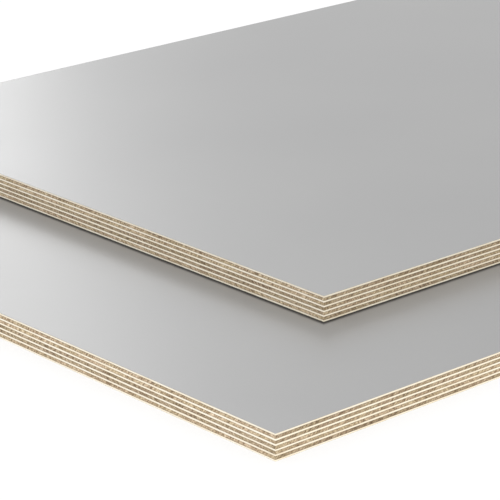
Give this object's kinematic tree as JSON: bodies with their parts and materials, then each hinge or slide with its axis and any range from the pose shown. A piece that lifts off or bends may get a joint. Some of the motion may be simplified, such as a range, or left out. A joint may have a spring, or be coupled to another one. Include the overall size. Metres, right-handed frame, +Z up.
{
  "type": "stack of plywood sheets",
  "caption": "Film-faced plywood sheets stacked flat, the upper one pushed back from the lower one's corner so that the layered raw edges show.",
  "frame": {"origin": "middle of the stack's outline, on the plane that the lower sheet rests on", "axes": "+X along the width of the sheets, +Y along their length, away from the near edge of the lower sheet, +Z up"},
  "size_m": [0.543, 1.021, 0.03],
  "materials": {
    "pale_veneer": "matte",
    "tan_veneer": "matte",
    "grey_film": "satin"
  },
  "bodies": {
    "root": {"lower_bottom_film": "grey_film", "lower_ply_01_pale": "pale_veneer", "lower_ply_02_tan": "tan_veneer", "lower_ply_03_pale": "pale_veneer", "lower_ply_04_tan": "tan_veneer", "lower_ply_05_pale": "pale_veneer", "lower_ply_06_tan": "tan_veneer", "lower_ply_07_pale": "pale_veneer", "lower_ply_08_tan": "tan_veneer", "lower_ply_09_pale": "pale_veneer", "lower_ply_10_tan": "tan_veneer", "lower_ply_11_pale": "pale_veneer", "lower_top_film": "grey_film", "upper_bottom_film": "grey_film", "upper_ply_01_pale": "pale_veneer", "upper_ply_02_tan": "tan_veneer", "upper_ply_03_pale": "pale_veneer", "upper_ply_04_tan": "tan_veneer", "upper_ply_05_pale": "pale_veneer", "upper_ply_06_tan": "tan_veneer", "upper_ply_07_pale": "pale_veneer", "upper_ply_08_tan": "tan_veneer", "upper_ply_09_pale": "pale_veneer", "upper_ply_10_tan": "tan_veneer", "upper_ply_11_pale": "pale_veneer", "upper_top_film": "grey_film"}
  },
  "joints": []
}
